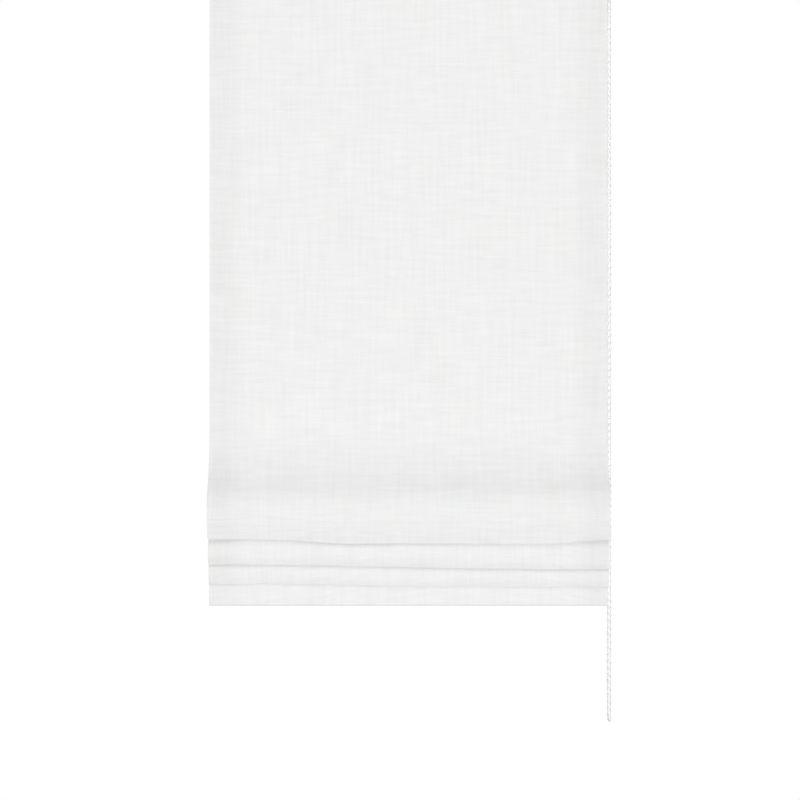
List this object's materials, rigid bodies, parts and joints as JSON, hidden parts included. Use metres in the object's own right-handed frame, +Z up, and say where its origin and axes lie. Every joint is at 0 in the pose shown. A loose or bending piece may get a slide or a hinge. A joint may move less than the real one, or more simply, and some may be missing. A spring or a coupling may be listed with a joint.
{
  "type": "flat Roman window shade",
  "caption": "Flat fabric Roman shade, partly raised, folds stacked above a weighted hem, lifted by cords from a bead-chain clutch in a bracket-hung headrail.",
  "frame": {"origin": "midway between the two bracket screw holes, on the plane the brackets are screwed up against", "axes": "+Z up, +X to the right seen from the room, -Y towards the room"},
  "size_m": [0.7144, 0.0752, 1.3327],
  "materials": {
    "steel": "satin",
    "rail_aluminium": "satin",
    "white_plastic": "satin",
    "natural_plastic": "matte",
    "chain_plastic": "gloss",
    "cloth": "matte",
    "grip_tape": "matte",
    "rib_tape": "matte",
    "glass_fibre": "satin",
    "cord": "matte"
  },
  "bodies": {
    "headrail": {"headrail": "rail_aluminium", "bracket_left": "steel", "bracket_right": "steel", "hook_tape": "grip_tape", "loop_tape": "grip_tape", "end_cap": "white_plastic", "spool_cradles": "natural_plastic", "clutch_housing": "white_plastic", "clutch_cover": "white_plastic", "bead_chain": "chain_plastic", "shade_cloth": "cloth", "lift_cord_left": "cord", "lift_cord_right": "cord"},
    "drive": {"drive_shaft": "steel", "shaft_bush": "natural_plastic", "lift_spools": "natural_plastic", "chain_sprocket": "natural_plastic", "brake_spring": "steel"},
    "rib_1": {"rib_tape_1": "rib_tape", "rib_rod_1": "glass_fibre"},
    "rib_2": {"rib_tape_2": "rib_tape", "rib_rod_2": "glass_fibre"},
    "bottom": {"bottom_bar": "rail_aluminium", "bar_cap_left": "white_plastic", "bar_cap_right": "white_plastic", "cord_stop_left": "white_plastic", "cord_stop_right": "white_plastic", "rib_tape_3": "rib_tape", "rib_rod_3": "glass_fibre", "rib_tape_4": "rib_tape", "rib_rod_4": "glass_fibre", "rib_tape_5": "rib_tape", "rib_rod_5": "glass_fibre"}
  },
  "joints": [
    {"name": "lift", "type": "slide", "parent": "headrail", "child": "bottom", "axis": [0, 0, 1], "range_m": [0, 0.77], "deforming": ["shade_cloth", "lift_cord_left", "lift_cord_right"]},
    {"name": "drive_spin", "type": "hinge", "parent": "headrail", "child": "drive", "pos_m": [0, -0.0025, -0.0205], "axis": [-1, 0, 0], "range_deg": [0, 4412], "deforming": ["bead_chain"]},
    {"name": "rib_1_rise", "type": "slide", "parent": "headrail", "child": "rib_1", "axis": [0, 0, 1], "range_m": [0, 0.376]},
    {"name": "rib_2_rise", "type": "slide", "parent": "headrail", "child": "rib_2", "axis": [0, 0, 1], "range_m": [0, 0.721]}
  ],
  "couplings": [
    {"joint": "drive_spin", "follows": "lift", "rad_per_m": 100},
    {"joint": "rib_1_rise", "follows": "lift", "ratio": 0.4876},
    {"joint": "rib_2_rise", "follows": "lift", "ratio": 0.9353}
  ]
}
